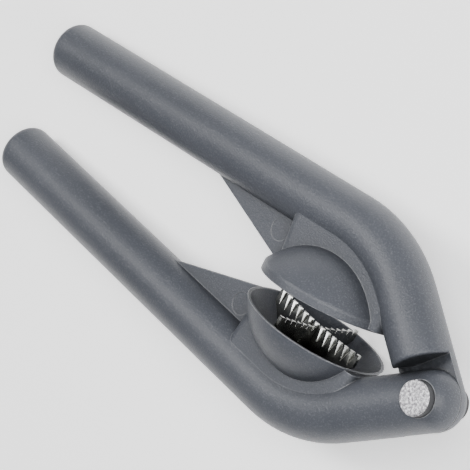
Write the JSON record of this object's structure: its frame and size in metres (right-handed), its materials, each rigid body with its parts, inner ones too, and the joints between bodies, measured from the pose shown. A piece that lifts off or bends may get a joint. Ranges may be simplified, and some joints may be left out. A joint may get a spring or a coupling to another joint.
{
  "type": "garlic press",
  "caption": "One-hand garlic press: mirrored moulded levers on a riveted half-lap hinge, with round cups that hold crossed serrated blades.",
  "frame": {"origin": "bottom centre of the bounding box of the press as it lies on its side, with the cups' lowest edges in the Z=0 plane", "axes": "+X from the grips' free ends to the hinge, +Y from the lower lever to the upper (band-rimmed) lever, +Z along the hinge axis towards the rivet's front head"},
  "size_m": [0.1978, 0.0734, 0.0456],
  "materials": {
    "moulded_body": "fine spark-eroded texture, soft satin sheen, dark blue-grey reinforced polyamide",
    "rivet": "sand-blasted, fine speckle",
    "blade": "stamped sheet, bright ground flutes"
  },
  "bodies": {
    "lower": {"lower_lever": "moulded_body", "hinge_rivet_front": "rivet", "hinge_rivet_back": "rivet", "lower_long_blade": "blade", "lower_cross_blade": "blade"},
    "upper": {"upper_lever": "moulded_body", "upper_long_blade": "blade", "upper_cross_blade": "blade"}
  },
  "joints": [
    {"name": "press_hinge", "type": "hinge", "parent": "lower", "child": "upper", "pos_m": [0.08987, 0, 0.0228], "axis": [0, 0, 1], "range_deg": [-125, 5.5]}
  ]
}
